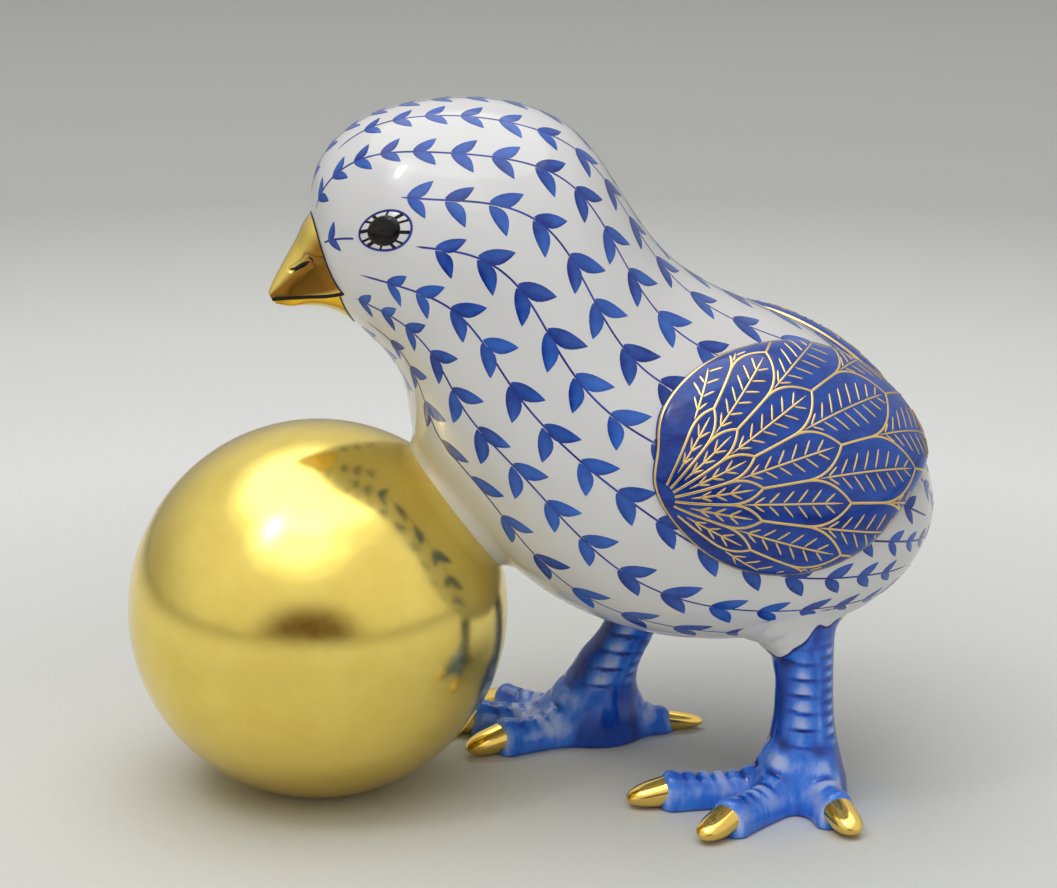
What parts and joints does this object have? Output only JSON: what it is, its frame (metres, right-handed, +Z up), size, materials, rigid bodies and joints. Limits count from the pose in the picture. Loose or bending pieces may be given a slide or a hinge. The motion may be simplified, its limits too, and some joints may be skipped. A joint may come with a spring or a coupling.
{
  "type": "porcelain chick figurine",
  "caption": "Glazed porcelain chick that stands on two clawed feet and leans its breast on a gilded ball, all cast and joined as one piece.",
  "frame": {"origin": "middle of the underside of the figurine's bounding box, on the surface that it stands on", "axes": "+Z up, -X the way the chick looks and where its ball lies, +X its tail, -Y its left side"},
  "size_m": [0.0884, 0.0486, 0.076],
  "materials": {
    "glazed_porcelain": "white gloss glaze, with cobalt blue painting and gilding"
  },
  "bodies": {
    "root": {"chick_and_ball": "glazed_porcelain"}
  },
  "joints": []
}
